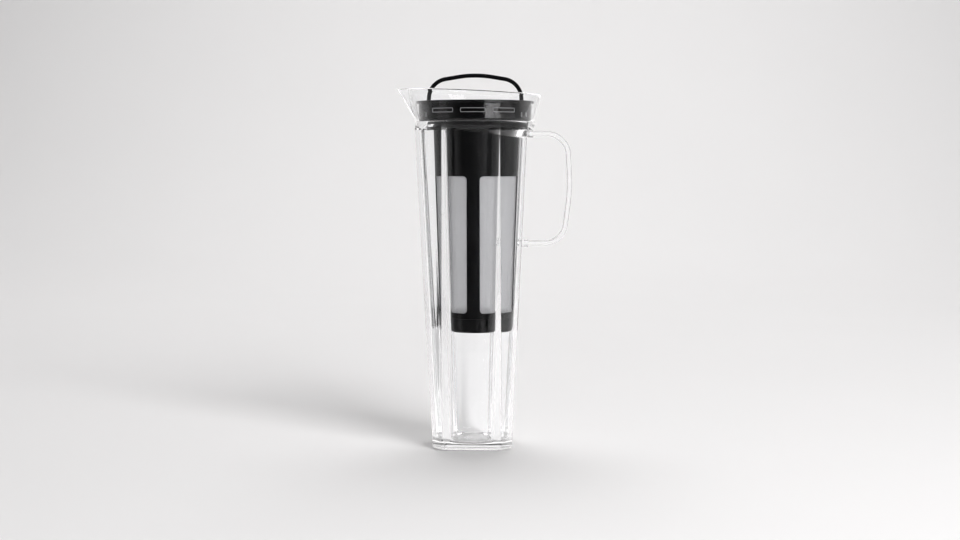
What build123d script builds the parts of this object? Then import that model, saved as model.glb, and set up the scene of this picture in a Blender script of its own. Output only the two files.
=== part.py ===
from build123d import *

import os
from math import asin, cos, hypot, radians, sin, sqrt, tan

# Cold brew coffee pitcher: a clear square-sided jug with a round neck, a black lid that lifts
# out with its filter, a folding bail on the lid and a clear C-shaped handle on the jug.
# Millimetres. The origin is the middle of the flat base, +Z is up, the handle is towards +X,
# the spout towards -X and the front towards -Y.

# Jug body: four flats cut from one tapering cone
base_flat_half = 33.6
flat_flare = 0.0500
spout_side_flare = 0.0543
handle_side_flare = 0.0457
flat_half_width = 24.5
flat_wall = 2.6
inner_offset = -0.65
inner_corner_share = 0.95
floor_thickness = 4.8
floor_corner_radius = 5.0
base_edge_radius = 3.2
crease_radius = 3.2

# Neck: a round ring, a little nearer the handle than the middle of the body
neck_offset = 1.5
ledge_height = 276.5
neck_outer_radius = 50.9
neck_bore_radius = 45.0
neck_flare_height = 15.0
neck_flare_depth = 7.4
neck_land = 3.0
bore_length = 7.0
bore_taper_height = 7.0
bore_taper_depth = 3.5
shoulder_drop = 13.5
shoulder_outset = 4.9

# Flared rim and spout, cut off by a sloping plane
rim_foot_radius = 50.2
rim_flare = 0.277
rim_wall = 2.2
rim_height = 25.1
rim_slope = 0.047
rim_edge_radius = 0.5
spout_reach = 16.6
spout_rise = 28.0
spout_half_angle = 57.5
spout_depth = 18.0

# Clear C handle
handle_top_height = 266.2
handle_bottom_height = 173.6
handle_reach = 82.4
handle_top_reach = 79.8
handle_bottom_reach = 76.4
handle_thickness = 4.3
handle_width = 12.0
handle_bend_radius = 18.0
handle_back_bow = 1.6
boss_height = 6.4
boss_width = 14.0
boss_length = 5.2
boss_root = 1.0
peg_height = 2.2
peg_width = 8.0
peg_length = 3.6
peg_clearance = 0.05

# Lid
lid_radius = 50.1
lid_height = 17.5
flange_thickness = 2.5
flange_edge_radius = 0.8
dish_radius = 42.2
dish_depth = 8.4
dish_wall = 1.6
drum_radius = 47.9
drum_wall = 1.8
seat_gasket_thickness = 2.1
spigot_height = 1.6
fit = 0.05
slot_angle = 24.0
slot_pitch = 32.0
slot_height = 3.2
slot_middle = 9.2
slot_corner_radius = 0.6
vent_angle = 27.0
vent_pitch = 8.5
vent_width = 1.0
vent_height = 3.2
vent_middle = 5.7

# Plug under the lid, which fills the neck, and its sleeve for the filter
plug_plate = 2.0
plug_radius = 42.6
plug_wall = 1.6
plug_depth = 7.1
sleeve_wall = 1.5
sleeve_depth = 8.2
port_count = 12
port_web = 4.0
collar_seal_thickness = 1.2
seal_overhang = 0.8
gasket_inset = 0.3
gasket_band = 0.7
gasket_groove = 1.1
gasket_gap = 0.1
lip_clearance = 0.3
lip_thickness = 1.4
lip_step = 0.7

# Bail
bail_side_clearance = 0.8
bail_thickness = 3.4
bail_width = 4.4
bail_edge_radius = 1.5
bail_eye_radius = 2.5
bail_pivot_depth = 3.0
bail_shoulder_rise = 19.4
bail_lean = 1.2
bail_crown_rise = 6.4
bail_shoulder_radius = 17.0
bail_crown_radius = 90.0
trunnion_diameter = 2.6
trunnion_length = 2.0
trunnion_clearance = 0.06

# Filter
filter_radius = 36.5
filter_foot_radius = 31.2
filter_wall = 1.8
filter_bottom = 99.3
collar_height = 8.4
cap_height = 11.7
window_bottom = 115.8
window_top = 230.8
window_corner_radius = 3.0
post_count = 4
post_width = 12.0
mesh_thickness = 0.4
mesh_recess = 1.0
filter_clearance = 0.3
lug_count = 3
lug_angle = 14.0
lug_height = 2.0
lug_depth = 1.1
lug_level = 2.6
lug_first_angle = 30.0
lug_side_clearance = 1.0
filter_twist = 45.0

# Base cap of the filter
cap_floor = 2.0
cap_wall = 1.9
cap_draft = 0.4
cap_edge_radius = 1.6
cap_clearance = 0.25
cap_twist = 30.0
cap_lug_angle = 10.0
cap_lug_depth = 0.8
cap_lug_height = 1.8
cap_lug_level = 3.0
cap_spigot_length = 8.0
cap_seam = 0.1
cap_notch_width = 1.0
cap_notch_depth = 0.6
cap_notch_angle = -67.6

# Heights and places that follow from the sizes above
neck_axis = Axis((neck_offset, 0, 0), (0, 0, 1))
neck_plane = Plane(origin=(neck_offset, 0, 0), x_dir=(1, 0, 0), z_dir=(0, -1, 0))
inner_corner_reach = sqrt(2) - (sqrt(2) - 1) * inner_corner_share
bore_foot = ledge_height - bore_length
rim_top_level = ledge_height + rim_height + spout_reach
rim_rise = rim_top_level - ledge_height
spout_lean = spout_reach / spout_rise
spout_tip = neck_offset - rim_foot_radius
spout_side = spout_depth * tan(radians(spout_half_angle))
lid_seat = ledge_height + seat_gasket_thickness
lid_top = ledge_height + lid_height
flange_bottom = lid_top - flange_thickness
dish_floor = lid_top - dish_depth
plug_bottom = ledge_height - plug_depth + seat_gasket_thickness
sleeve_inner_radius = filter_radius + filter_clearance
sleeve_outer_radius = sleeve_inner_radius + sleeve_wall
filter_top = lid_seat - collar_seal_thickness - fit
bail_pivot_height = lid_top - bail_pivot_depth
bail_half_span = dish_radius - bail_side_clearance - bail_thickness / 2
seam_height = filter_bottom + cap_height
drum_inner_radius = drum_radius - drum_wall
plug_inner_radius = plug_radius - plug_wall
sleeve_bottom = lid_seat - sleeve_depth
lug_top = lid_seat - lug_level
lip_radius = neck_bore_radius - lip_clearance
band_radius = lip_radius - lip_step
band_bottom = plug_bottom + lip_thickness + gasket_groove
band_top = ledge_height - gasket_gap
collar_bottom = filter_top - collar_height
filter_taper = (filter_radius - filter_foot_radius) / (collar_bottom - seam_height)
cap_inner_radius = filter_foot_radius - cap_wall
cap_groove_radius = cap_inner_radius + cap_lug_depth
spigot_radius = cap_inner_radius - cap_clearance
cap_lug_top = seam_height - cap_lug_level


def flat_distance(height, flare=flat_flare):
    """Distance from the middle of the jug to a flat, at a height."""
    return base_flat_half + flare * height


def corner_radius(height):
    """Radius of the cone that the four flats are cut from, at a height."""
    return hypot(flat_distance(height), flat_half_width)


def filter_side(height):
    """Radius of the filter's tapered side, at a height."""
    return filter_foot_radius + filter_taper * (height - seam_height)


def window_half(height):
    """Half the width of a window: what the posts leave of the filter's side, at a height."""
    radius = filter_side(height)
    return radius * sin(radians(180 / post_count) - asin(post_width / 2 / radius))


def radial_plane(angle, height=0.0):
    """Upright plane through the neck's axis: x runs outwards at an angle, y runs up."""
    turn = radians(angle)
    return Plane(origin=(neck_offset, 0, height), x_dir=(cos(turn), sin(turn), 0),
                 z_dir=(sin(turn), -cos(turn), 0))


def outward_plane(angle, height):
    """Upright plane at the neck's axis that faces outwards at an angle."""
    turn = radians(angle)
    return Plane(origin=(neck_offset, 0, height), x_dir=(-sin(turn), cos(turn), 0),
                 z_dir=(cos(turn), sin(turn), 0))


# The space inside the jug: a square with large round corners that point at the flats, so the walls
# are thin there and thick in the jug's own corners; above it the bore, the ledge, rim and spout
with BuildPart() as jug_space:
    for level in (floor_thickness, bore_foot):
        with BuildSketch(Plane.XY.offset(level)):
            inner_half = (flat_distance(level) - flat_wall) / inner_corner_reach
            with Locations((inner_offset, 0)):
                RectangleRounded(2 * inner_half, 2 * inner_half, inner_corner_share * inner_half,
                                 rotation=45)
    loft(ruled=True)
    fillet(jug_space.faces().sort_by(Axis.Z)[0].edges(), radius=floor_corner_radius)
    with BuildSketch(neck_plane):
        Polygon((0, rim_top_level), (0, bore_foot - bore_taper_height),
                (neck_bore_radius - bore_taper_depth, bore_foot - bore_taper_height),
                (neck_bore_radius, bore_foot), (neck_bore_radius, ledge_height),
                (rim_foot_radius - rim_wall, ledge_height),
                (rim_foot_radius - rim_wall + rim_flare * rim_rise, rim_top_level), align=None)
    revolve(axis=neck_axis)
    with BuildSketch(Plane.XY.offset(ledge_height)):
        inner_tip = spout_tip + rim_wall / sin(radians(spout_half_angle))
        Polygon((inner_tip, 0), (inner_tip + spout_depth, spout_side),
                (inner_tip + spout_depth, -spout_side), align=None)
    extrude(amount=rim_rise * hypot(1, spout_lean), dir=(-spout_lean, 0, 1))

# Pitcher body: taper, shoulder, neck ring, flared rim with its spout, and the handle's bosses
with BuildPart() as pitcher_body:
    for level in (0, ledge_height):
        spout_flat = flat_distance(level, spout_side_flare)
        handle_flat = flat_distance(level, handle_side_flare)
        with BuildSketch(Plane.XY.offset(level)) as outer_section:
            Circle(corner_radius(level))
            with Locations(((handle_flat - spout_flat) / 2, 0)):
                Rectangle(spout_flat + handle_flat, 2 * flat_distance(level), mode=Mode.INTERSECT)
            fillet(outer_section.vertices(), radius=crease_radius)
    loft(ruled=True)
    fillet(pitcher_body.faces().sort_by(Axis.Z)[0].edges(), radius=base_edge_radius)
    # the round shoulder takes the corners in to the neck
    with BuildSketch(neck_plane):
        with BuildLine():
            shoulder_bottom = ledge_height - shoulder_drop
            far = 2 * neck_outer_radius
            Polyline((0, ledge_height), (0, 0), (far, 0), (far, shoulder_bottom),
                     (neck_outer_radius + shoulder_outset, shoulder_bottom))
            Spline((neck_outer_radius + shoulder_outset, shoulder_bottom),
                   (neck_outer_radius, ledge_height), tangents=((0, 1), (-1, 1)))
            Line((neck_outer_radius, ledge_height), (0, ledge_height))
        make_face()
    revolve(axis=neck_axis, mode=Mode.INTERSECT)
    # the neck ring flares out of each flat and leaves its curved upper edge
    with BuildSketch(neck_plane):
        Polygon((0, ledge_height), (0, ledge_height - neck_flare_height),
                (neck_outer_radius - neck_flare_depth, ledge_height - neck_flare_height),
                (neck_outer_radius, ledge_height - neck_land), (neck_outer_radius, ledge_height),
                align=None)
    revolve(axis=neck_axis)
    # flared rim
    with BuildSketch(neck_plane):
        Polygon((0, ledge_height), (rim_foot_radius, ledge_height),
                (rim_foot_radius + rim_flare * rim_rise, rim_top_level), (0, rim_top_level),
                align=None)
    revolve(axis=neck_axis)
    # V spout: a triangle that leans out with the rim
    with BuildSketch(Plane.XY.offset(ledge_height)):
        Polygon((spout_tip, 0), (spout_tip + spout_depth, spout_side),
                (spout_tip + spout_depth, -spout_side), align=None)
    extrude(amount=rim_rise * hypot(1, spout_lean), dir=(-spout_lean, 0, 1))
    # bosses for the handle
    for level in (handle_top_height, handle_bottom_height):
        with BuildSketch(Plane.YZ.offset(flat_distance(level, handle_side_flare) - boss_root)):
            with Locations((0, level)):
                SlotOverall(boss_width, boss_height)
        extrude(amount=boss_length + boss_root)
        with BuildSketch(Plane.YZ.offset(flat_distance(level, handle_side_flare) + boss_length)):
            with Locations((0, level)):
                Rectangle(peg_width + 2 * peg_clearance, peg_height + 2 * peg_clearance)
        extrude(amount=-peg_length - peg_clearance, mode=Mode.SUBTRACT)
    add(jug_space.part, mode=Mode.SUBTRACT)
    # the sloping plane of the rim
    rim_plane = Plane(origin=(neck_offset, 0, ledge_height + rim_height), z_dir=(rim_slope, 0, 1))
    split(bisect_by=rim_plane, keep=Keep.BOTTOM)
    fillet(pitcher_body.faces().sort_by(Axis.Z)[-1].edges(), radius=rim_edge_radius)
pitcher_body.part.label = "pitcher_body"

# C handle, one bar bent round, with a flat peg at each end
with BuildPart() as pitcher_handle:
    top_end = flat_distance(handle_top_height, handle_side_flare) + boss_length
    bottom_end = flat_distance(handle_bottom_height, handle_side_flare) + boss_length
    back_height = (handle_top_height + handle_bottom_height) / 2
    back_radius = handle_back_bow * (handle_top_height - handle_bottom_height)
    with BuildLine(Plane.XZ) as handle_path:
        FilletPolyline((top_end, handle_top_height), (handle_top_reach, handle_top_height),
                       (handle_reach, back_height), (handle_bottom_reach, handle_bottom_height),
                       (bottom_end, handle_bottom_height),
                       radius=(handle_bend_radius, back_radius, handle_bend_radius))
    with BuildSketch(Plane.YZ.offset(top_end)):
        with Locations((0, handle_top_height)):
            SlotOverall(handle_width, handle_thickness)
    sweep()
    for level, end in ((handle_top_height, top_end), (handle_bottom_height, bottom_end)):
        with BuildSketch(Plane.YZ.offset(end)):
            with Locations((0, level)):
                Rectangle(peg_width, peg_height)
        extrude(amount=-peg_length)
pitcher_handle.part.label = "pitcher_handle"

# Lid cover: a flange with a dish that the bail folds into
with BuildPart() as lid_cover:
    with BuildSketch(neck_plane):
        Polygon((0, dish_floor - dish_wall), (dish_radius + dish_wall, dish_floor - dish_wall),
                (dish_radius + dish_wall, flange_bottom - spigot_height),
                (drum_inner_radius - fit, flange_bottom - spigot_height),
                (drum_inner_radius - fit, flange_bottom), (lid_radius, flange_bottom),
                (lid_radius, lid_top), (dish_radius, lid_top), (dish_radius, dish_floor),
                (0, dish_floor), align=None)
    revolve(axis=neck_axis)
    fillet(lid_cover.edges().filter_by(GeomType.CIRCLE).filter_by(
        lambda e: e.radius > dish_radius - fit and e.center().Z > flange_bottom - fit
        and e.radius != drum_inner_radius - fit), radius=flange_edge_radius)
    # the bail's trunnions turn in two blind holes in the dish wall
    hole_reach = bail_half_span + bail_thickness / 2 + trunnion_length + trunnion_clearance
    with BuildSketch(Plane.YZ.offset(neck_offset)):
        with Locations((0, bail_pivot_height)):
            Circle(trunnion_diameter / 2 + trunnion_clearance)
    extrude(amount=hole_reach, both=True, mode=Mode.SUBTRACT)
lid_cover.part.label = "lid_cover"

# Lid drum: the round skirt with its row of pour slots
with BuildPart() as lid_drum:
    with BuildSketch(Plane.XY.offset(lid_seat)):
        with Locations((neck_offset, 0)):
            Circle(drum_radius)
            Circle(drum_inner_radius, mode=Mode.SUBTRACT)
    extrude(amount=flange_bottom - lid_seat)
    # three pour slots at the front and three at the back, and air vents beside each group
    slot_width = 2 * drum_radius * sin(radians(slot_angle / 2))
    for side in (-1, 1):
        for step in (-1, 0, 1):
            with BuildSketch(outward_plane(side * 90 + step * slot_pitch, ledge_height + slot_middle)):
                RectangleRounded(slot_width, slot_height, slot_corner_radius)
            extrude(amount=lid_radius, mode=Mode.SUBTRACT)
        for step in (0, 1):
            vent_turn = side * (vent_angle + step * vent_pitch)
            with BuildSketch(outward_plane(vent_turn, ledge_height + vent_middle)):
                Rectangle(vent_width, vent_height)
            extrude(amount=lid_radius, mode=Mode.SUBTRACT)
lid_drum.part.label = "lid_drum"

# Lid plug: a plate with ports, the plug wall outside them and the filter's sleeve inside
with BuildPart() as lid_plug:
    with BuildSketch(neck_plane):
        Polygon((0, lid_seat), (sleeve_inner_radius, lid_seat), (sleeve_inner_radius, sleeve_bottom),
                (sleeve_outer_radius, sleeve_bottom), (sleeve_outer_radius, lid_seat),
                (plug_inner_radius, lid_seat), (plug_inner_radius, plug_bottom),
                (plug_radius, plug_bottom), (plug_radius, lid_seat),
                (drum_inner_radius - fit, lid_seat),
                (drum_inner_radius - fit, lid_seat + plug_plate), (0, lid_seat + plug_plate),
                align=None)
    revolve(axis=neck_axis)
    # the ports let the brew up between the sleeve and the plug wall
    with BuildSketch(Plane.XY.offset(lid_seat)):
        with Locations((neck_offset, 0)):
            Circle(plug_inner_radius)
            Circle(sleeve_outer_radius, mode=Mode.SUBTRACT)
            with PolarLocations(plug_radius / 2, port_count):
                Rectangle(plug_radius, port_web, mode=Mode.SUBTRACT)
    extrude(amount=plug_plate, mode=Mode.SUBTRACT)
    # bayonet slots: a level run for each lug, and a way in from below at its far end
    run_top = lug_top + fit
    for turn in range(lug_count):
        start = lug_first_angle + turn * 360 / lug_count - lug_angle / 2 - lug_side_clearance
        for first, sweep_angle, low in ((start, filter_twist + lug_angle + 2 * lug_side_clearance,
                                         lug_top - lug_height - fit),
                                        (start + filter_twist, lug_angle + 2 * lug_side_clearance,
                                         sleeve_bottom)):
            with BuildSketch(radial_plane(first)):
                Polygon((sleeve_inner_radius - filter_clearance, low), (sleeve_outer_radius + fit, low),
                        (sleeve_outer_radius + fit, run_top),
                        (sleeve_inner_radius - filter_clearance, run_top), align=None)
            revolve(axis=neck_axis, revolution_arc=sweep_angle, mode=Mode.SUBTRACT)
lid_plug.part.label = "lid_plug"

# Seat gasket: the flat ring between the lid and the ledge in the neck
with BuildPart() as seat_gasket:
    with BuildSketch(Plane.XY.offset(ledge_height)):
        with Locations((neck_offset, 0)):
            Circle(drum_radius - gasket_inset)
            Circle(plug_radius + fit, mode=Mode.SUBTRACT)
    extrude(amount=seat_gasket_thickness)
seat_gasket.part.label = "seat_gasket"

# Plug gasket: a band with one wide lip that wipes the bore of the neck
with BuildPart() as plug_gasket:
    with BuildSketch(neck_plane):
        Polygon((plug_radius + fit, plug_bottom), (lip_radius, plug_bottom),
                (lip_radius, plug_bottom + lip_thickness),
                (plug_radius + gasket_band, plug_bottom + lip_thickness),
                (plug_radius + gasket_band, band_bottom), (band_radius, band_bottom),
                (band_radius, band_top), (plug_radius + fit, band_top), align=None)
    revolve(axis=neck_axis)
plug_gasket.part.label = "plug_gasket"

# Collar seal: a soft washer above the top edge of the filter
with BuildPart() as collar_seal:
    with BuildSketch(Plane.XY.offset(lid_seat - collar_seal_thickness)):
        with Locations((neck_offset, 0)):
            Circle(sleeve_inner_radius - fit)
            Circle(filter_radius - filter_wall - seal_overhang, mode=Mode.SUBTRACT)
    extrude(amount=collar_seal_thickness)
collar_seal.part.label = "collar_seal"

# Bail: one bent bar with a round eye and a trunnion at each foot
with BuildPart() as lid_bail:
    with BuildLine(neck_plane):
        FilletPolyline((-bail_half_span, bail_pivot_height),
                       (bail_lean - bail_half_span, bail_pivot_height + bail_shoulder_rise),
                       (0, bail_pivot_height + bail_shoulder_rise + bail_crown_rise),
                       (bail_half_span - bail_lean, bail_pivot_height + bail_shoulder_rise),
                       (bail_half_span, bail_pivot_height),
                       radius=(bail_shoulder_radius, bail_crown_radius, bail_shoulder_radius))
    foot = Plane(origin=(neck_offset - bail_half_span, 0, bail_pivot_height), x_dir=(0, 1, 0),
                 z_dir=(bail_lean, 0, bail_shoulder_rise))
    with BuildSketch(foot):
        RectangleRounded(bail_width, bail_thickness, bail_edge_radius)
    sweep()
    for side in (-1, 1):
        with BuildSketch(Plane.YZ.offset(neck_offset + side * bail_half_span)):
            with Locations((0, bail_pivot_height)):
                Circle(bail_eye_radius)
        extrude(amount=bail_thickness / 2, both=True)
        with BuildSketch(Plane.YZ.offset(neck_offset + side * bail_half_span)):
            with Locations((0, bail_pivot_height)):
                Circle(trunnion_diameter / 2)
        extrude(amount=side * (bail_thickness / 2 + trunnion_length))
lid_bail.part.label = "lid_bail"

window_corners = ((-window_half(window_bottom), window_bottom), (window_half(window_bottom), window_bottom),
                  (window_half(window_top), window_top), (-window_half(window_top), window_top))

# Filter frame: a tube with four tall windows, bayonet lugs above and a spigot below
with BuildPart() as filter_frame:
    with BuildSketch(neck_plane):
        Polygon((filter_radius - filter_wall, filter_top), (filter_radius, filter_top),
                (filter_radius, collar_bottom), (filter_foot_radius, seam_height),
                (spigot_radius, seam_height), (spigot_radius, seam_height - cap_spigot_length),
                (spigot_radius - filter_wall, seam_height - cap_spigot_length),
                (spigot_radius - filter_wall, seam_height),
                (filter_side(window_bottom) - filter_wall, window_bottom),
                (filter_radius - filter_wall, collar_bottom), align=None)
    revolve(axis=neck_axis)
    for turn in range(post_count):
        with BuildSketch(outward_plane((turn + 0.5) * 360 / post_count, 0)) as window:
            Polygon(*window_corners, align=None)
            fillet(window.vertices(), radius=window_corner_radius)
        extrude(amount=2 * filter_radius, mode=Mode.SUBTRACT)
    for turn in range(lug_count):
        for first, base_radius, reach, top, height in (
                (lug_first_angle - lug_angle / 2, filter_radius, lug_depth, lug_top, lug_height),
                (lug_first_angle - cap_lug_angle / 2, spigot_radius, cap_lug_depth, cap_lug_top,
                 cap_lug_height)):
            with BuildSketch(radial_plane(first + turn * 360 / lug_count)):
                Polygon((base_radius - filter_wall / 2, top - height), (base_radius + reach, top - height),
                        (base_radius + reach, top), (base_radius - filter_wall / 2, top), align=None)
            revolve(axis=neck_axis, revolution_arc=lug_angle if reach == lug_depth else cap_lug_angle)
filter_frame.part.label = "filter_frame"

# Filter mesh: one curved panel moulded into each window
mesh_panels = []
for turn, side in enumerate(("back_right", "back_left", "front_left", "front_right")):
    with BuildPart() as mesh_panel:
        with BuildSketch(neck_plane):
            top_radius = filter_side(window_top) - mesh_recess
            foot_radius = filter_side(window_bottom) - mesh_recess
            Polygon((top_radius, window_top), (foot_radius, window_bottom),
                    (foot_radius - mesh_thickness, window_bottom), (top_radius - mesh_thickness, window_top),
                    align=None)
        revolve(axis=neck_axis)
        with BuildSketch(outward_plane((turn + 0.5) * 360 / post_count, 0)) as window:
            Polygon(*window_corners, align=None)
            fillet(window.vertices(), radius=window_corner_radius)
        extrude(amount=2 * filter_radius, mode=Mode.INTERSECT)
    mesh_panel.part.label = "filter_mesh_" + side
    mesh_panels.append(mesh_panel)

# Filter base cap: a cup that twists on to the spigot
with BuildPart() as filter_base_cap:
    with BuildSketch(neck_plane):
        Polygon((0, filter_bottom), (filter_foot_radius - cap_draft, filter_bottom),
                (filter_foot_radius, seam_height - cap_seam), (cap_inner_radius, seam_height - cap_seam),
                (cap_inner_radius, filter_bottom + cap_floor), (0, filter_bottom + cap_floor), align=None)
    revolve(axis=neck_axis)
    fillet(filter_base_cap.edges().filter_by(GeomType.CIRCLE).group_by(Axis.Z)[0],
           radius=cap_edge_radius)
    for turn in range(lug_count):
        start = (lug_first_angle + turn * 360 / lug_count - cap_lug_angle / 2 - lug_side_clearance
                 - cap_twist)
        for first, sweep_angle, high in ((start, cap_twist + cap_lug_angle + 2 * lug_side_clearance,
                                          cap_lug_top + fit),
                                         (start, cap_lug_angle + 2 * lug_side_clearance, seam_height)):
            with BuildSketch(radial_plane(first)):
                Polygon((cap_inner_radius - fit, cap_lug_top - cap_lug_height - fit),
                        (cap_groove_radius, cap_lug_top - cap_lug_height - fit),
                        (cap_groove_radius, high), (cap_inner_radius - fit, high), align=None)
            revolve(axis=neck_axis, revolution_arc=sweep_angle, mode=Mode.SUBTRACT)
    # a notch in the skirt marks the cap's locked place
    with BuildSketch(radial_plane(cap_notch_angle)):
        with Locations((filter_foot_radius, (filter_bottom + seam_height) / 2)):
            Rectangle(2 * cap_notch_depth, cap_height)
    extrude(amount=cap_notch_width / 2, both=True, mode=Mode.SUBTRACT)
filter_base_cap.part.label = "filter_base_cap"

os.makedirs("parts", exist_ok=True)
for piece in (pitcher_body, pitcher_handle, lid_cover, lid_drum, lid_plug, seat_gasket, plug_gasket,
              collar_seal, lid_bail, filter_frame, *mesh_panels, filter_base_cap):
    export_step(piece.part, "parts/" + piece.part.label + ".step")
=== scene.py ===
# %% [markdown]
# # Cold brew coffee pitcher
#
# A clear, tapering jug with four flat sides and a round neck. A black lid stands in the neck, a
# long black filter with mesh windows hangs from it, and a clear handle is fixed to one side.
# The solid model is imported first. Opaque pieces keep their solids and get a finish here. Clear
# pieces are made again as smooth meshes, because light bends at every facet of a clear wall, so
# facets that nobody sees on a black piece spoil a clear one.

# %% Start with the solid model
from math import cos, hypot, pi, radians, sin, tan

import bpy
import numpy as np
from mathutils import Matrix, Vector


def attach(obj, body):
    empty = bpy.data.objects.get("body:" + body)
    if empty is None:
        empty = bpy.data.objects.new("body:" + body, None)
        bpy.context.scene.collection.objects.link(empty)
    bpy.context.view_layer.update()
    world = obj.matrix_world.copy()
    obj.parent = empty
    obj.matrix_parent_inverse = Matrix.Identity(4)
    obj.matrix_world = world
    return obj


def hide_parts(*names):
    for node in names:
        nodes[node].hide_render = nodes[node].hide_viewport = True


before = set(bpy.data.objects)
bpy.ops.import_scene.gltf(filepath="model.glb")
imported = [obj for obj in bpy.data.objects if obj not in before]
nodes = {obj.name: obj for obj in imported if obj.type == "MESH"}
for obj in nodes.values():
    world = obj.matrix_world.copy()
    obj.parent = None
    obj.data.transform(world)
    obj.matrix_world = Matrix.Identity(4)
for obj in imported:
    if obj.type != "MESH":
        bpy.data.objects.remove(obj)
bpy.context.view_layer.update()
mm = 0.001

# %% [markdown]
# ## Shared sizes
#
# These are the sizes that more than one step needs, in millimetres, as the solid model has them.
# They could be measured on the solids. They are written once here, because a wall, a boss or a
# rim then follows the same value, and a reader can see what drives the shape.

# %% Sizes
neck_x = 1.5
ledge = 276.5
base_flat_half = 33.6
flat_half_width = 24.5
# How far each flat leans out for each millimetre up: right, back, left, front.
side_flares = (0.0457, 0.0500, 0.0543, 0.0500)
print("the ledge is", ledge, "mm up, and the foot", 2 * base_flat_half, "mm across its flats")

# %% [markdown]
# ## The camera
#
# It comes early in the script. The picture's horizon lies well above its middle, so the camera looks
# a little down, and a long lens from 1.3 m keeps the sides of the jug nearly straight. It stands a
# little towards the handle.

# %% Camera
camera = bpy.data.objects.new("Camera", bpy.data.cameras.new("Camera"))
bpy.context.scene.collection.objects.link(camera)
bpy.context.scene.camera = camera
camera.data.sensor_width = 36
camera.data.lens = 58.9
camera_turn = radians(2.1)
camera_pitch = radians(4.3)
camera_distance = 1.3413
camera_aside = 0.0042
camera_height = 0.2510
camera.location = (neck_x * mm + sin(camera_turn) * camera_distance + cos(camera_turn) * camera_aside,
                   sin(camera_turn) * camera_aside - cos(camera_turn) * camera_distance,
                   camera_height)
camera.rotation_euler = (pi / 2 - camera_pitch, 0, camera_turn)
print("camera at", [round(v, 3) for v in camera.location], "lens", round(camera.data.lens, 1), "mm")

# %% [markdown]
# ## Helpers for a turned skin
#
# The jug is a hollow body whose outline changes from square to round and back. It could be cut
# from a block with booleans, or modelled as a cage with subdivision. Here it is a stack of closed
# rows, each a distance from the neck's axis for every angle, because then each height can follow
# its own rule, and the skin stays smooth where light passes through it. The columns stand closer
# together where a crease passes, because a coarse crease shows as a wavy line in a clear wall.

# %% Rows of points round the neck's axis
# The three steps are in degrees.
trial_step = 0.05
wide_step = 1.0
close_step = 0.25
crease_margin = radians(1.5)
flat_travel_in, flat_travel_out = 0.2, 14.4


def column_angles():
    """Angles round the neck's axis, close together wherever a crease of the body passes."""
    angles = np.radians(np.arange(0, 360, trial_step))
    close = np.zeros(angles.shape, bool)
    half = flat_half_width
    for reach in np.linspace(base_flat_half - flat_travel_in, base_flat_half + flat_travel_out, 60):
        for x, y in ((reach, half), (half, reach), (-half, reach), (-reach, half)):
            for side in (1, -1):
                apart = angles - np.arctan2(side * y, x - neck_x)
                close |= np.abs((apart + pi) % (2 * pi) - pi) < crease_margin
    steps = np.cumsum(np.where(close, trial_step / close_step, trial_step / wide_step))
    wanted = np.arange(round(steps[-1])) * steps[-1] / round(steps[-1])
    return np.interp(wanted, np.r_[0, steps], np.r_[angles, 2 * pi])


turns = column_angles()
around = len(turns)


def new_piece(name, points, faces, smooth=True):
    """An object with a mesh of the given points, in metres, and faces."""
    mesh = bpy.data.meshes.new(name)
    mesh.from_pydata(points, [], faces)
    if smooth:
        mesh.shade_smooth()
    piece = bpy.data.objects.new(name, mesh)
    bpy.context.scene.collection.objects.link(piece)
    return piece


def level_row(reach, height):
    """One row: the distance from the neck's axis and the height, for each angle."""
    return (np.array(np.broadcast_to(reach, around), float),
            np.array(np.broadcast_to(height, around), float))


def round_corners(rows, rounding, steps=4):
    """Replaces a row that has a rounding by a short curve that is tangent to both neighbours."""
    made = []
    for i, row in enumerate(rows):
        if not rounding[i]:
            made.append(row)
            continue
        here, before, after = (np.array(rows[k]) for k in (i, i - 1, i + 1))
        start = here + (before - here) * rounding[i] / np.maximum(np.hypot(*(before - here)), 1e-9)
        end = here + (after - here) * rounding[i] / np.maximum(np.hypot(*(after - here)), 1e-9)
        for t in np.linspace(0, 1, steps + 1):
            made.append(tuple((1 - t) ** 2 * start + 2 * t * (1 - t) * here + t ** 2 * end))
    return made


def skin(name, rows):
    """A closed mesh through the rows, with one point in the middle of its first and last row."""
    rings = [np.c_[neck_x + reach * np.cos(turns), reach * np.sin(turns), height]
             for reach, height in rows]
    points = [tuple(v) for v in np.concatenate(rings) * mm]
    first, last = len(points), len(points) + 1
    points += [(neck_x * mm, 0, rows[0][1][0] * mm), (neck_x * mm, 0, rows[-1][1][0] * mm)]
    faces = []
    for r in range(len(rows) - 1):
        for k in range(around):
            n = (k + 1) % around
            faces.append((r * around + k, r * around + n, (r + 1) * around + n, (r + 1) * around + k))
    top = (len(rows) - 1) * around
    for k in range(around):
        n = (k + 1) % around
        faces.append((first, n, k))
        faces.append((last, top + k, top + n))
    piece = new_piece(name, points, faces)
    piece.data.validate()
    return piece


def softer_less(a, b, blend):
    """The lesser of two distances, with a small fillet where they cross."""
    h = np.clip(0.5 + 0.5 * (b - a) / blend, 0, 1)
    return b * (1 - h) + a * h - blend * h * (1 - h)


def softer_more(a, b, blend):
    """The greater of two distances, with a small fillet where they cross."""
    return -softer_less(-a, -b, blend)


print("rows have", around, "points")

# %% [markdown]
# ## Four flats on a round cone
#
# From outside the jug is a cone with four flats cut on it, as on a pencil, and rounded creases
# between flat and corner. It could be cut from a block with planes and bevelled. Here a rule
# gives each row, so that the rows stay level and even, as clear plastic needs. A point of the
# outline lies at the crease radius from the same shape drawn smaller, and each angle's distance
# is found by halving a range until it fits. The inside is a square with very large round corners,
# turned so that they face the flats. The wall is thin there and thick in the jug's corners, which
# is what bends the light at the sides of the filter.

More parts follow.
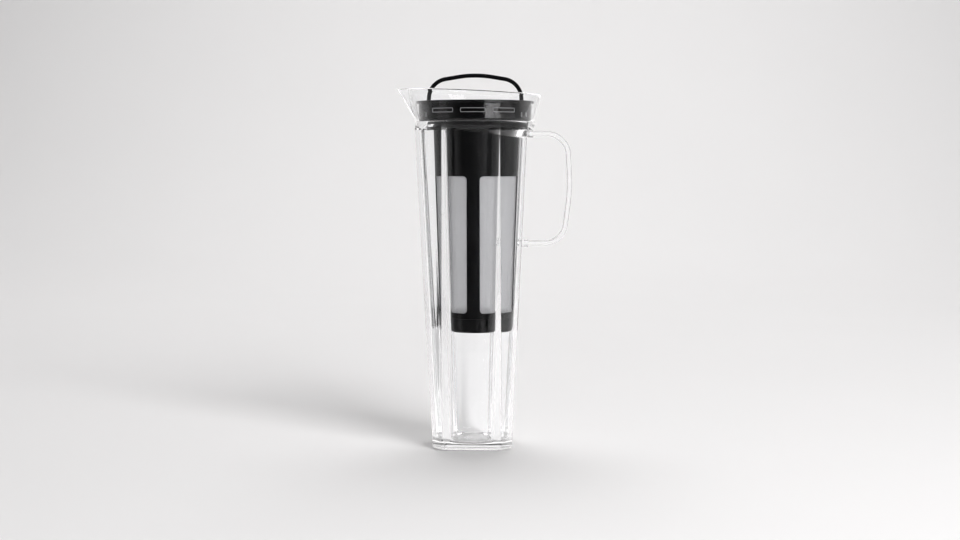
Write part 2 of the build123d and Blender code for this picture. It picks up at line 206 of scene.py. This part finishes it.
# %% Outside and inside of the body
crease_radius = 3.2
flat_wall = 2.6
inner_share = 0.95
inner_x = -0.65
diagonal = 2 ** 0.5
halvings = 30
nearest, farthest = 15.0, 75.0


def reach_of(is_outside):
    """Distance from the neck's axis, for each angle, where a shape ends."""
    low, high = np.full(around, nearest), np.full(around, farthest)
    for _ in range(halvings):
        middle = (low + high) / 2
        out = is_outside(neck_x + middle * np.cos(turns), middle * np.sin(turns))
        low, high = np.where(out, low, middle), np.where(out, middle, high)
    return (low + high) / 2


def distance_from_small_section(x, y, height):
    """Distance of points from the section drawn smaller by the crease radius."""
    cone = hypot(base_flat_half + side_flares[1] * height, flat_half_width) - crease_radius
    away = np.hypot(x, y)
    found = np.full(x.shape, 1e3)
    in_arc = np.ones(x.shape, bool)
    inside = away <= cone
    for side, flare in enumerate(side_flares):
        nx, ny = cos(side * pi / 2), sin(side * pi / 2)
        flat = base_flat_half + flare * height - crease_radius
        out, along = x * nx + y * ny, np.abs(-x * ny + y * nx)
        half = (cone ** 2 - flat ** 2) ** 0.5
        from_flat = np.hypot(np.maximum(along - half, 0), out - flat)
        found = np.where(out > flat, np.minimum(found, from_flat), found)
        in_arc &= cone * out / away <= flat
        inside &= out <= flat
    found = np.where(in_arc, np.minimum(found, np.abs(away - cone)), found)
    return np.where(inside, 0, found)


def outer_reach(height):
    """Distance from the neck's axis to the outside of the body, for each angle."""
    return reach_of(lambda x, y: distance_from_small_section(x, y, height) > crease_radius)


def inner_reach(height):
    """Distance from the neck's axis to the inside of the body, for each angle."""
    middle_flat = base_flat_half + side_flares[1] * height - flat_wall
    half = middle_flat / (diagonal - (diagonal - 1) * inner_share)
    corner = inner_share * half

    def is_outside(x, y):
        u, v = np.abs(x - inner_x + y) / diagonal, np.abs(x - inner_x - y) / diagonal
        return np.hypot(np.maximum(u - half + corner, 0), np.maximum(v - half + corner, 0)) > corner

    return reach_of(is_outside)


for words, reach in (("outside", outer_reach(10)), ("inside", inner_reach(10))):
    print(words, "at the foot, mm:", round(reach.min(), 1), "to", round(reach.max(), 1))

# %% [markdown]
# ## Shoulder, neck ring, flared rim and spout
#
# The corners of the body run in to the round neck in a curve, and the neck's ring flares out over
# each flat. Above its ledge stands a thin flared rim. The spout is a V that leans out further than
# the rim does, so it starts as nothing at the ledge and is widest at the top. The rim's edge lies
# on a plane that is higher at the spout. The spout could be pulled out of a round rim by hand.
# Rules are used instead, because they give both sides of the thin wall, as far apart everywhere.

# %% Rules for the neck
shoulder_low = ledge - 13.5
shoulder_width = 4.9
shoulder_leave = 14.4
shoulder_arrive = 10.2
ring_reach = 50.9
ring_flare = 7.4
ring_low, ring_full = ledge - 15, ledge - 3
neck_blend = 0.8
rim_foot = 50.2
rim_wall = 2.2
rim_lean = 0.277
rim_rise = 25.1
rim_slope = 0.047
rim_blend = 0.5
spout_lean = 0.593
spout_half = radians(57.5)
spout_side = radians(26)
no_limit, no_flare = 99, 20
settle_rounds = 12
from_spout = np.abs(turns - pi)


def curve(start, end, leave, arrive, steps=40):
    """A smooth run from start to end, with the slopes it leaves and arrives with."""
    t = np.linspace(0, 1, steps)
    return ((2 * t ** 3 - 3 * t ** 2 + 1) * start + (t ** 3 - 2 * t ** 2 + t) * leave
            + (3 * t ** 2 - 2 * t ** 3) * end + (t ** 3 - t ** 2) * arrive)


shoulder_reach = curve(ring_reach + shoulder_width, ring_reach, 0, -shoulder_arrive)
shoulder_height = curve(shoulder_low, ledge, shoulder_leave, shoulder_arrive)


def neck_reach(height):
    """Outside of the body where the shoulder and the flare of the neck's ring take over."""
    shoulder = np.interp(height, shoulder_height, shoulder_reach, left=no_limit)
    flare = np.interp(height, (ring_low, ring_full), (ring_reach - ring_flare, ring_reach),
                      left=no_flare)
    return softer_more(softer_less(outer_reach(height), shoulder, neck_blend), flare, neck_blend)


def rim_reach(height, wall):
    """Side of the flared rim, with the spout, less a wall."""
    up = np.maximum(height - ledge, 0)
    cone = rim_foot - wall + rim_lean * up
    tip = rim_foot - wall / sin(spout_half) + spout_lean * up
    wedge = np.where(from_spout < spout_side, tip * sin(spout_half) / np.sin(from_spout + spout_half), 0)
    return softer_more(cone, wedge, rim_blend)


def rim_top(wall):
    """The row where a side of the rim meets the sloping plane of the rim's edge."""
    height = np.full(around, ledge + rim_rise)
    for _ in range(settle_rounds):
        height = ledge + rim_rise - rim_slope * rim_reach(height, wall) * np.cos(turns)
    return rim_reach(height, wall), height


print("rim's edge, mm: from", round(rim_top(0)[1].min(), 1), "to", round(rim_top(0)[1].max(), 1))

# %% [markdown]
# ## The jug's skin
#
# On the real jug this is one moulding, with a solid floor and a stepped bore that the lid's
# gasket seals in. It could be two shells joined at the rim. Here one run of rows makes it all,
# because a clear wall must be closed without a seam. The rows go from the middle of the base out
# and up the outside, over the rim's edge, and down the inside to the middle of the floor.

# %% Jug
base_edge_radius = 3.2
floor_top = 4.8
floor_fillet = 5.0
bore_reach = 45.0
bore_depth = 6.5
bore_foot = ledge - 7
bore_cone_foot = 41.5
bore_cone_height = 7
edge_rounding = 0.7
step_rounding = 0.3
ring_rounding, rim_foot_rounding = 0.35, 0.2
bore_blend = 0.4
fine_step = 0.5
body_rows = 44
middle_shares = (0.15, 0.35, 0.55, 0.75, 0.92)
rows, rounding = [], []


def add_row(reach, height, corner=0.0):
    """Puts a row on the stack, with the size of its rounding."""
    rows.append(level_row(reach, height))
    rounding.append(corner)


def add_rim_side(wall, shares):
    """The rows of one side of the rim, at shares of its height."""
    top = rim_top(wall)[1]
    for share in shares:
        height = ledge + (top - ledge) * share
        add_row(rim_reach(height, wall), height)


foot = outer_reach(0) - base_edge_radius
for share in middle_shares:
    add_row(foot * share, 0)
for angle in np.linspace(0, pi / 2, 10):
    height = base_edge_radius * (1 - cos(angle))
    add_row(outer_reach(height) - base_edge_radius * (1 - sin(angle)), height)
for height in np.linspace(8, shoulder_low - 3, body_rows):
    add_row(outer_reach(height), height)
for height in np.arange(shoulder_low - 2.5, ledge - 0.3, fine_step):
    add_row(neck_reach(height), height)
add_row(ring_reach, ledge, ring_rounding)
add_row(rim_foot, ledge, rim_foot_rounding)
add_rim_side(0, np.linspace(0.1, 0.9, 9))
add_row(*rim_top(0), edge_rounding)
add_row(*rim_top(rim_wall), edge_rounding)
add_rim_side(rim_wall, np.linspace(0.9, 0.1, 9))
add_row(rim_foot - rim_wall, ledge, step_rounding)
add_row(bore_reach, ledge, step_rounding)
add_row(bore_reach, ledge - bore_depth)
for height in np.arange(bore_foot, bore_foot - 8, -fine_step):
    taper = np.interp(height, (bore_foot - bore_cone_height, bore_foot), (bore_cone_foot, bore_reach))
    add_row(softer_more(inner_reach(height), taper, bore_blend), height)
for height in np.linspace(bore_foot - 10, 14, body_rows):
    add_row(inner_reach(height), height)
for angle in np.linspace(0, pi / 2, 12):
    height = floor_top + floor_fillet * (1 - sin(angle))
    add_row(inner_reach(height) - floor_fillet * (1 - cos(angle)), height)
floor_row = rows[-1][0]
for share in middle_shares[::-1]:
    add_row(floor_row * share, floor_top)
jug = skin("jug", round_corners(rows, rounding))
print("jug:", len(jug.data.polygons), "faces")

# %% [markdown]
# ## Bosses for the handle
#
# Two short bosses stand on the flat at the handle's side, each with a pocket for the handle's
# peg. They are moulded in one with the jug, so they are joined to its skin with a boolean: two
# clear shapes that only overlap would show a false wall between them.

# %% Bosses and their pockets
handle_heights = (266.2, 173.6)
boss_width, boss_thickness, boss_length = 14.0, 6.4, 5.2
boss_root = 1.0
pocket_width, pocket_thickness, pocket_depth = 8.1, 2.3, 3.65
cut_past = 1.0
sharp_from = radians(38)


def slab(name, outline, x_from, x_to, height):
    """A closed bar along X, from an outline in Y and Z."""
    points = [(x * mm, y * mm, (z + height) * mm) for x in (x_from, x_to) for y, z in outline]
    n = len(outline)
    faces = [tuple(range(n)), tuple(range(2 * n - 1, n - 1, -1))]
    faces += [(k, k + n, (k + 1) % n + n, (k + 1) % n) for k in range(n)]
    return new_piece(name, points, faces, smooth=False)


def rectangle(width, height):
    """Outline of a rectangle, width along Y and height along Z."""
    y, z = width / 2, height / 2
    return [(y, -z), (y, z), (-y, z), (-y, -z)]


def stadium(width, height, steps):
    """Outline of a slot with round ends, width along Y and height along Z."""
    reach = (width - height) / 2
    made = []
    for side in (1, -1):
        for k in range(steps + 1):
            angle = pi * (k / steps - 0.5 * side)
            made.append((side * reach + height / 2 * cos(angle), height / 2 * sin(angle)))
    return made


def cut_or_join(piece, tool, operation):
    """Applies a boolean of a tool to a piece and removes the tool."""
    change = piece.modifiers.new(operation, "BOOLEAN")
    change.operation = operation
    change.solver = "EXACT"
    change.object = tool
    bpy.context.view_layer.update()
    evaluated = piece.evaluated_get(bpy.context.evaluated_depsgraph_get())
    done = bpy.data.meshes.new_from_object(evaluated)
    piece.modifiers.clear()
    piece.data = done
    bpy.data.objects.remove(tool)


boss_ends = []
for height in handle_heights:
    flat = base_flat_half + side_flares[0] * height
    end = flat + boss_length
    boss_outline = stadium(boss_width, boss_thickness, steps=16)
    cut_or_join(jug, slab("boss", boss_outline, flat - boss_root, end, height), "UNION")
    pocket = slab("pocket", rectangle(pocket_width, pocket_thickness), end - pocket_depth,
                  end + cut_past, height)
    cut_or_join(jug, pocket, "DIFFERENCE")
    boss_ends.append(end)
jug.data.set_sharp_from_angle(angle=sharp_from)
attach(jug, "pitcher")
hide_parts("pitcher_body")
print("jug with bosses:", len(jug.data.polygons), "faces")

# %% [markdown]
# ## The C handle
#
# One bar of clear plastic bent round, flat on its wide faces and round along its edges. A curve
# with a bevel could make it. Here an outline is carried along a line of points, because its ends
# then stop square on the bosses, with the flat pegs beyond them. The outline and the bends have
# many points, so that the light in the bar runs in smooth lines.

# %% Handle
handle_width, handle_thickness = 12.0, 4.3
handle_bend, handle_bow = 18.0, 148.2
handle_top_x, handle_back_x, handle_low_x = 79.8, 82.4, 76.4
peg_width, peg_thickness, peg_length = 8.0, 2.2, 3.6
peg_root = 1.0
gap = 0.03


def rounded_line(corners, radii, steps=48):
    """Points along straight runs with a round arc at each inner corner, in X and Z."""
    made = [np.array(corners[0], float)]
    for i in range(1, len(corners) - 1):
        before, here, after = (np.array(corners[k], float) for k in (i - 1, i, i + 1))
        u = (before - here) / np.linalg.norm(before - here)
        v = (after - here) / np.linalg.norm(after - here)
        half = np.arccos(np.clip(np.dot(u, v), -1, 1)) / 2
        radius = radii[i - 1]
        back = radius / tan(half)
        centre = here + (u + v) / np.linalg.norm(u + v) * radius / sin(half)
        a, b = here + u * back - centre, here + v * back - centre
        sweep = np.arccos(np.clip(np.dot(a, b) / radius ** 2, -1, 1))
        for t in np.linspace(0, 1, steps + 1):
            made.append(centre + (a * sin((1 - t) * sweep) + b * sin(t * sweep)) / sin(sweep))
    made.append(np.array(corners[-1], float))
    return made


def bar(name, line, outline):
    """A closed bar: an outline in Y and across the line, carried along the line."""
    points, n = [], len(outline)
    for i, p in enumerate(line):
        ahead, behind = line[min(i + 1, len(line) - 1)], line[max(i - 1, 0)]
        along = (ahead - behind) / np.linalg.norm(ahead - behind)
        across = np.array((-along[1], along[0]))
        for y, w in outline:
            x, z = p + across * w
            points.append((x * mm, y * mm, z * mm))
    faces = [tuple(range(n - 1, -1, -1)), tuple(range(len(points) - n, len(points)))]
    for r in range(len(line) - 1):
        faces += [(r * n + k, r * n + (k + 1) % n, (r + 1) * n + (k + 1) % n, (r + 1) * n + k)
                  for k in range(n)]
    return new_piece(name, points, faces)


upper, lower = handle_heights
handle_corners = [(boss_ends[0] + gap, upper), (handle_top_x, upper),
                  (handle_back_x, (upper + lower) / 2), (handle_low_x, lower),
                  (boss_ends[1] + gap, lower)]
line = rounded_line(handle_corners, (handle_bend, handle_bow, handle_bend))
handle = bar("handle", line, stadium(handle_width, handle_thickness, steps=40))
for end, height in zip(boss_ends, handle_heights):
    peg = slab("peg", rectangle(peg_width, peg_thickness), end - peg_length, end + peg_root, height)
    cut_or_join(handle, peg, "UNION")
handle.data.set_sharp_from_angle(angle=sharp_from)
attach(handle, "pitcher")
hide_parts("pitcher_handle")
print("handle:", len(handle.data.polygons), "faces,",
      round(sum(np.linalg.norm(b - a) for a, b in zip(line, line[1:])), 1), "mm along its middle")

# %% [markdown]
# ## Painted highlights round the pour slots
#
# Each slot and vent in the lid's skirt shows a pale line round it, where its edge catches the light.
# It could be a bevel of the slot's edge, but that edge is narrower than the line in the photograph.
# So each line is a thin tube along the slot's outline, bent round the skirt, and its pale colour is
# a painted highlight.

# %% Slot rims that carry a painted highlight
drum_reach = 47.9
slot_angle, slot_pitch = radians(24), 32
slot_height, slot_middle, slot_corner = 3.2, ledge + 9.2, 0.6
vent_angles = (27, 35.5)
vent_half, vent_height, vent_middle, vent_corner = 0.5, 3.2, ledge + 5.7, 0.3
rim_thickness = 0.5


def rim_tube(name, outline, ring=8):
    """A closed round tube along a closed line of points, in mm."""
    points, faces, n = [], [], len(outline)
    for i, p in enumerate(outline):
        along = (outline[(i + 1) % n] - outline[i - 1]).normalized()
        out = Vector((p.x - neck_x, p.y, 0)).normalized()
        up = along.cross(out)
        for k in range(ring):
            angle = 2 * pi * k / ring
            points.append(tuple((p + (out * cos(angle) + up * sin(angle)) * rim_thickness / 2) * mm))
    for i in range(n):
        for k in range(ring):
            a, b = i * ring + k, i * ring + (k + 1) % ring
            faces.append((a, b, (b + ring) % (n * ring), (a + ring) % (n * ring)))
    return new_piece(name, points, faces)


def slot_outline(turn, half, height, middle, corner, steps=4, pieces=14):
    """Points round a slot of the skirt, at an angle in degrees from +X."""
    flat = []
    for cx, cz, first in ((1, 1, 0), (-1, 1, 90), (-1, -1, 180), (1, -1, 270)):
        for k in range(steps + 1):
            angle = radians(first + 90 * k / steps)
            flat.append((cx * (half - corner) + corner * cos(angle),
                         cz * (height / 2 - corner) + corner * sin(angle)))
    made = []
    for i, (a, b) in enumerate(flat):
        c, d = flat[(i + 1) % len(flat)]
        count = pieces if abs(c - a) > half else 1
        for k in range(count):
            angle = radians(turn) + np.arcsin((a + (c - a) * k / count) / drum_reach)
            made.append(Vector((neck_x + drum_reach * cos(angle), drum_reach * sin(angle),
                                middle + b + (d - b) * k / count)))
    return made


slot_half = drum_reach * sin(slot_angle / 2)
slot_turns = [side + step for side in (-90, 90) for step in (-slot_pitch, 0, slot_pitch)]
vent_turns = sorted((base + side * turn) % 360
                    for base in (0, 180) for side in (1, -1) for turn in vent_angles)
# These tubes carry a painted highlight: a pale line round each slot and vent.
slot_highlight_rims = [rim_tube("slot_highlight_rim_" + str(i + 1),
                      slot_outline(turn, slot_half, slot_height, slot_middle, slot_corner))
             for i, turn in enumerate(slot_turns)]
slot_highlight_rims += [rim_tube("vent_highlight_rim_" + str(i + 1),
                       slot_outline(turn, vent_half, vent_height, vent_middle, vent_corner))
              for i, turn in enumerate(vent_turns)]
for rim in slot_highlight_rims:
    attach(rim, "lid")
print("rims:", len(slot_turns), "round slots and", len(vent_turns), "round vents")

# %% [markdown]
# ## Helpers for finishes
#
# Each finish is one Principled shader, with its own texture nodes for what varies: the waviness
# of a moulded wall, the fine grain of a satin tool, or the threads of a mesh. The nodes could be
# added one by one. A small class keeps that short, and the room uses it too.

# %% Nodes of a finish
pale_colour = (1.0, 0.99, 0.99, 1)
most_turns = 2.5


class Nodes:
    """The nodes of one material or world, with short ways to add and join them."""

    def __init__(self, owner):
        owner.use_nodes = True
        self.owner = owner
        self.tree = owner.node_tree

    def add(self, kind):
        """A new node of a kind."""
        return self.tree.nodes.new("ShaderNode" + kind)

    def feed(self, socket, value):
        """Sets a socket to a number, or joins another node's output to it."""
        if isinstance(value, (int, float)):
            socket.default_value = value
        else:
            self.tree.links.new(value, socket)

    def calculate(self, operation, *values):
        """A math node. Each value is a number or another node's output."""
        made = self.add("Math")
        made.operation = operation
        for socket, value in zip(made.inputs, values):
            self.feed(socket, value)
        return made.outputs["Value"]

    def spread(self, source, low, high, start=0.0, end=1.0, smooth=False):
        """Brings what lies between start and end to between low and high."""
        made = self.add("MapRange")
        if smooth:
            made.interpolation_type = "SMOOTHSTEP"
        for name, value in (("Value", source), ("From Min", start), ("From Max", end),
                            ("To Min", low), ("To Max", high)):
            self.feed(made.inputs[name], value)
        return made.outputs["Result"]

    def place(self, kind):
        """The X, Y and Z of a texture coordinate."""
        split = self.add("SeparateXYZ")
        self.feed(split.inputs["Vector"], self.add("TexCoord").outputs[kind])
        return split.outputs["X"], split.outputs["Y"], split.outputs["Z"]

    def noise(self, scale, detail=4.0):
        """Noise in object space."""
        made = self.add("TexNoise")
        made.inputs["Scale"].default_value = scale
        made.inputs["Detail"].default_value = detail
        self.feed(made.inputs["Vector"], self.add("TexCoord").outputs["Object"])
        return made.outputs["Fac"]

    def through_plastic(self, path):
        """Two values, 0 or 1: was the ray let straight out of the plastic, and does it come from it."""
        let_out = self.calculate("GREATER_THAN", path.outputs["Glossy Depth"], most_turns)
        return let_out, self.calculate("MAXIMUM", path.outputs["Is Transmission Ray"], let_out)


class Finish(Nodes):
    """A material with one Principled shader."""

    def __init__(self, name, **sockets):
        super().__init__(bpy.data.materials.new(name))
        self.shader = self.tree.nodes["Principled BSDF"]
        for key, value in sockets.items():
            self.shader.inputs[key.replace("_", " ")].default_value = value

    def mottle(self, scale, dark, light):
        """A base colour that wanders between two."""
        mix = self.add("Mix")
        mix.data_type = "RGBA"
        mix.inputs["A"].default_value = (*dark, 1)
        mix.inputs["B"].default_value = (*light, 1)
        self.feed(mix.inputs["Factor"], self.spread(self.noise(scale), 0.0, 1.0))
        self.feed(self.shader.inputs["Base Color"], mix.outputs["Result"])

    def polish(self, scale, low, high):
        """A roughness that wanders between two."""
        self.feed(self.shader.inputs["Roughness"], self.spread(self.noise(scale), low, high))

    def bump(self, scale, detail, strength, depth):
        """A surface that is uneven by a noise."""
        made = self.add("Bump")
        made.inputs["Strength"].default_value = strength
        made.inputs["Distance"].default_value = depth
        self.feed(made.inputs["Height"], self.noise(scale, detail))
        self.feed(self.shader.inputs["Normal"], made.outputs["Normal"])

    def soften_edges(self, radius):
        """Normals that turn smoothly over an edge, as a moulded edge does."""
        edge = self.add("Bevel")
        edge.samples = 6
        edge.inputs["Radius"].default_value = radius
        self.feed(self.shader.inputs["Normal"], edge.outputs["Normal"])

    def put_on(self, *pieces):
        """Makes this the only material of each piece."""
        for piece in pieces:
            piece.data.materials.clear()
            piece.data.materials.append(self.owner)
        print(self.owner.name, "on", len(pieces), "pieces")


# %% [markdown]
# ## Clear plastic
#
# The jug and handle are clear plastic with an index near 1.57, and their polish varies a little.
# A plain clear shader would do, but the jug then shows dark bands where light turns many times in
# a wall before it leaves, more times than a picture can follow. So light that has turned more
# than twice, or met more than seven faces, is let straight out. The plastic lets half of the
# lamps' light by, for a soft shadow, and its reflections are weaker than those of the real
# material, to keep the pieces inside black.

# %% Clear plastic
clear = Finish("clear_plastic", Base_Color=(0.993, 0.996, 1.0, 1), IOR=1.57, Specular_IOR_Level=0.1,
               Specular_Tint=(0.3, 0.3, 0.3, 1), Transmission_Weight=1.0)
clear.polish(60, low=0.0, high=0.02)
clear.bump(14, detail=1.0, strength=0.001, depth=0.001)
most_bounces = 7.5
shadow_left = 0.5
path = clear.add("LightPath")
early = clear.calculate("LESS_THAN", path.outputs["Ray Depth"], most_bounces)
few_turns = clear.calculate("LESS_THAN", path.outputs["Glossy Depth"], most_turns)
not_late = clear.calculate("MULTIPLY", early, few_turns)
lets_light_by = clear.spread(path.outputs["Is Shadow Ray"], 1.0, shadow_left)
clear.feed(clear.shader.inputs["Alpha"], clear.calculate("MULTIPLY", not_late, lets_light_by))
clear.put_on(jug, handle)

# %% [markdown]
# ## Black plastics, soft rings and pale slot rims
#
# The lid is glossy, and its edges are softened, as a mould leaves them. The bail and filter are
# satin, with a fine grain that breaks up highlights. The rings are silicone. The rims round the
# slots are painted pale: a painted highlight for the light that the real slot edges catch and the
# skirt does not. Each colour wanders a little, because plain black looks like a hole in the picture.

# %% Black plastics
black = (0.003, 0.003, 0.0035)
gloss = Finish("lid_plastic", Specular_IOR_Level=0.35)
gloss.mottle(35, black, (0.006, 0.006, 0.007))
gloss.polish(90, low=0.10, high=0.18)
gloss.soften_edges(0.0004)
gloss.put_on(*(nodes[name] for name in ("lid_cover", "lid_drum", "lid_plug")))

satin = Finish("satin_plastic", Specular_IOR_Level=0.15)
satin.mottle(40, black, (0.006, 0.006, 0.0065))
satin.polish(150, low=0.38, high=0.5)
satin.bump(2500, detail=2.0, strength=0.15, depth=0.00005)
satin.put_on(*(nodes[name] for name in ("lid_bail", "filter_frame", "filter_base_cap")))

rubber = Finish("silicone", Specular_IOR_Level=0.25)
rubber.mottle(300, (0.016, 0.016, 0.017), (0.03, 0.03, 0.031))
rubber.polish(700, low=0.5, high=0.7)
rubber.put_on(*(nodes[name] for name in ("seat_gasket", "plug_gasket", "collar_seal")))

# Painted highlight: a pale colour on the slot rims in place of the light that the slot edges catch.
slot_highlight_paint = Finish("painted_slot_highlight", Specular_IOR_Level=0.6)
slot_highlight_paint.mottle(200, (0.38, 0.38, 0.39), (0.56, 0.56, 0.58))
slot_highlight_paint.polish(90, low=0.2, high=0.3)
slot_highlight_paint.put_on(*slot_highlight_rims)

# %% [markdown]
# ## Filter mesh
#
# Fine nylon cloth moulded into the windows. Its threads are thinner than a hair, so from a step
# away it looks like a pale haze. The threads could be modelled, but there are thousands. Here two
# waves across the cloth, one up it and one round the filter, set where it is open.

# %% Mesh
thread_pitch = 0.00045
thread_angle = 0.0128
least_cover, most_cover = 0.2, 0.62
weave = Finish("filter_mesh", Roughness=0.6)
x, y, z = weave.place("Object")
turn = weave.calculate("ARCTAN2", y, weave.calculate("SUBTRACT", x, neck_x * mm))


def threads(source, pitch):
    """A wave that is 1 on a thread and -1 midway between threads."""
    return weave.calculate("SINE", weave.calculate("MULTIPLY", source, 2 * pi / pitch))


cloth = weave.calculate("MAXIMUM", threads(z, thread_pitch), threads(turn, thread_angle))
cover = weave.spread(cloth, least_cover, most_cover, start=-0.2, end=0.9)
weave.feed(weave.shader.inputs["Alpha"], cover)
weave.mottle(120, (0.78, 0.78, 0.80), (0.86, 0.86, 0.88))
sides = ("back_right", "back_left", "front_left", "front_right")
weave.put_on(*(nodes["filter_mesh_" + side] for side in sides))

# %% [markdown]
# ## Floor and backdrop
#
# A pale sheet runs along the table and up behind the object in one curve. A flat table and a wall
# would show a line where they meet. The sheet ends just below the picture's lower edge, because
# black plastic shows whatever stands in front of it, and a pale floor there would turn it grey.
# The object stands half a millimetre above the sheet: clear plastic that touches it exactly would
# show black. Seen through plastic the sheet glows a little, which stands in for light that the
# walls would guide to it.

# %% Sheet
floor_z = -0.0005
sheet_front = -0.40
bend_start = 1.5
bend_radius = 1.2
sheet_top = 4.5
sheet_glow = 0.07
front_half_width, back_half_width = 0.6, 1.7
profile = [(y, floor_z) for y in np.linspace(sheet_front, bend_start, 9)]
profile += [(bend_start + bend_radius * sin(a), floor_z + bend_radius * (1 - cos(a)))
            for a in np.linspace(0.1, pi / 2, 14)]
profile += [(bend_start + bend_radius, sheet_top)]
half_width = [np.interp(y + z, (sheet_front, 2.0), (front_half_width, back_half_width))
              for y, z in profile]
co = [(side * half, y, z) for (y, z), half in zip(profile, half_width) for side in (-1, 1)]
floor = new_piece("floor", co, [(2 * k, 2 * k + 1, 2 * k + 3, 2 * k + 2)
                                for k in range(len(profile) - 1)])
paper = Finish("paper", Roughness=0.85, Specular_IOR_Level=0.2, Emission_Color=pale_colour)
paper.mottle(3, (0.80, 0.79, 0.79), (0.82, 0.81, 0.81))
through = paper.through_plastic(paper.add("LightPath"))[1]
paper.feed(paper.shader.inputs["Emission Strength"],
           paper.calculate("MULTIPLY", through, sheet_glow))
paper.put_on(floor)

# %% [markdown]
# ## The room
#
# To the camera and straight through clear plastic, the room is pale all round. For the light that
# falls on the object it is dim behind and dark in front, as in a studio with black cloth round
# the camera. A path that has turned once inside the plastic finds it dark only straight in front,
# and one that has turned twice finds it pale again. A path off a black piece inside finds the
# whole front half dark, so that the piece stays black. Such a path crosses a clear wall twice,
# four faces in all, and that number tells it apart from most that turn in the wall. Only paths of
# four faces see the patch at the front right, where the main lamp stands, which gives the streak
# on the lid: the lamps themselves would glare in every bend of the plastic. One plain grey would
# be simpler, but then no setting has both black plastic and pale walls.

# %% World
pale, let_out_pale = 0.83, 0.55
front_level, back_level = 0.02, 0.30
dark_front, fade_width = -0.85, 0.4
key_turn = radians(37)
patch_half_turn, patch_level = 0.28, 8.0
patch_height, patch_half_height = 0.3, 0.3
world = bpy.data.worlds.new("World")
bpy.context.scene.world = world
room = Nodes(world)
path = room.add("LightPath")
right, back, up = room.place("Generated")
glossy_depth = path.outputs["Glossy Depth"]
let_out, through = room.through_plastic(path)
seen = room.calculate("MAXIMUM", path.outputs["Is Camera Ray"], through)
straight = room.calculate("MULTIPLY", seen, room.calculate("LESS_THAN", glossy_depth, 0.5))

four_faces = room.calculate("COMPARE", path.outputs["Transmission Depth"], 4, 0.5)
pale_from = room.calculate("MULTIPLY_ADD", four_faces, -dark_front, dark_front)
pale_to = room.calculate("ADD", pale_from, fade_width)
turned_twice = room.calculate("GREATER_THAN", glossy_depth, 1.5)
not_dark = room.spread(back, 0.0, 1.0, start=pale_from, end=pale_to, smooth=True)
guided = room.calculate("MULTIPLY", room.calculate("MAXIMUM", not_dark, turned_twice), through)
clear_level = room.calculate("MULTIPLY_ADD", let_out, let_out_pale - pale, pale)
clear_light = room.calculate("MULTIPLY", room.calculate("MAXIMUM", straight, guided), clear_level)

front_turn = room.calculate("ARCTAN2", right, room.calculate("MULTIPLY", back, -1.0))
patch = room.calculate("MULTIPLY", room.calculate("COMPARE", front_turn, key_turn, patch_half_turn),
                       room.calculate("COMPARE", up, patch_height, patch_half_height))
off_black = room.calculate("MULTIPLY", four_faces, room.calculate("SUBTRACT", through, straight))
patch_light = room.calculate("MULTIPLY", room.calculate("MULTIPLY", patch, off_black), patch_level)

room_light = room.spread(back, front_level, back_level, start=-0.2, end=0.5, smooth=True)
level = room.calculate("MAXIMUM", room.calculate("MAXIMUM", room_light, patch_light), clear_light)
background = room.tree.nodes["Background"]
background.inputs["Color"].default_value = pale_colour
room.feed(background.inputs["Strength"], level)
print("room: dark in front, pale behind, made with", len(room.tree.nodes), "nodes")

# %% [markdown]
# ## Lamps
#
# A tall softbox at the front right is the main light and gives the shadow at the back left. A wide
# one above lights the table. A sun would be simpler, but its shadow is too hard. Neither lamp is
# seen in mirrors or through plastic, where it would show as glare.

# %% Softboxes
key_distance = 2.0
key_height = 1.25


def softbox(name, place, aim, width, height, power):
    """A rectangular lamp at a place, turned to face a point."""
    lamp = bpy.data.lights.new(name, "AREA")
    lamp.shape = "RECTANGLE"
    lamp.size, lamp.size_y = width, height
    lamp.energy = power
    made = bpy.data.objects.new(name, lamp)
    bpy.context.scene.collection.objects.link(made)
    made.visible_transmission = False
    made.visible_glossy = False
    made.location = place
    made.rotation_euler = (Vector(aim) - Vector(place)).to_track_quat("-Z", "Y").to_euler()


softbox("key_softbox", (key_distance * sin(key_turn), -key_distance * cos(key_turn), key_height),
        (0, 0, key_height), width=1.2, height=2.0, power=72)
softbox("top_softbox", (0, 1.6, 2.6), (0, 1.0, 0), width=2.6, height=2.2, power=56)

# %% [markdown]
# ## Finish
#
# The picture is shown without a film look, so that a colour renders as it is written.

# %% Finish
bpy.context.scene.view_settings.view_transform = "Standard"
